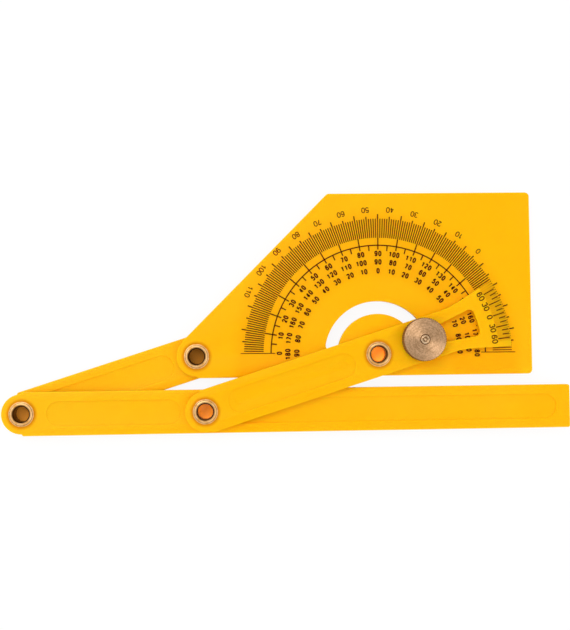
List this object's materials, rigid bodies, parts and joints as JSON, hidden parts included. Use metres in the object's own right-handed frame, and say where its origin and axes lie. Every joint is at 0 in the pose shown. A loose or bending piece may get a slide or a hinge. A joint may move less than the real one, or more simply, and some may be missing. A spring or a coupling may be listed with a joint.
{
  "type": "protractor square",
  "caption": "Folding protractor square: a scale plate, a pointer arm, a long straight-edge blade and a link, riveted into a parallelogram and locked by a thumb nut.",
  "frame": {"origin": "on the axis of the centre eyelet, at the back face of the scale plate", "axes": "+X along the scale's base line and the blade, +Y towards the scale's 90 degree mark, +Z out of the printed front"},
  "size_m": [0.2632, 0.1103, 0.0161],
  "materials": {
    "yellow_plastic": "translucent moulded plastic, semi-gloss",
    "eyelet_brass": "drawn sheet brass, bright",
    "turned_bronze": "turned, with fine concentric tool marks"
  },
  "bodies": {
    "plate": {"protractor_plate": "yellow_plastic", "centre_eyelet": "eyelet_brass", "centre_washer": "eyelet_brass", "heel_eyelet": "eyelet_brass", "heel_washer": "eyelet_brass"},
    "arm": {"pointer_arm": "yellow_plastic"},
    "blade": {"long_blade": "yellow_plastic", "apex_eyelet": "eyelet_brass", "apex_washer": "eyelet_brass", "blade_eyelet": "eyelet_brass", "blade_washer": "eyelet_brass"},
    "link": {"short_link": "yellow_plastic"},
    "stud": {"lock_stud": "turned_bronze"},
    "nut": {"thumb_nut": "turned_bronze"}
  },
  "joints": [
    {"name": "arm_swing", "type": "hinge", "parent": "plate", "child": "arm", "pos_m": [0, 0, 0], "axis": [0, 0, 1], "range_deg": [-3.5, 148.5]},
    {"name": "link_swing", "type": "hinge", "parent": "plate", "child": "link", "pos_m": [-0.084, 0, 0], "axis": [0, 0, 1], "range_deg": [-3.5, 148.5]},
    {"name": "blade_swing", "type": "hinge", "parent": "arm", "child": "blade", "pos_m": [-0.08011, -0.02526, 0], "axis": [0, 0, 1], "range_deg": [-148.5, 3.5]},
    {"name": "nut_turn", "type": "hinge", "parent": "arm", "child": "nut", "pos_m": [0.0207, 0.00653, 0], "axis": [0, 0, 1], "range_deg": [0, 540]},
    {"name": "stud_drop", "type": "slide", "parent": "arm", "child": "stud", "axis": [0, 0, -1], "range_m": [0, 0.00106]}
  ],
  "couplings": [
    {"joint": "link_swing", "follows": "arm_swing", "ratio": 1},
    {"joint": "blade_swing", "follows": "arm_swing", "ratio": -1},
    {"joint": "stud_drop", "follows": "nut_turn", "m_per_rad": 0.00011141}
  ]
}
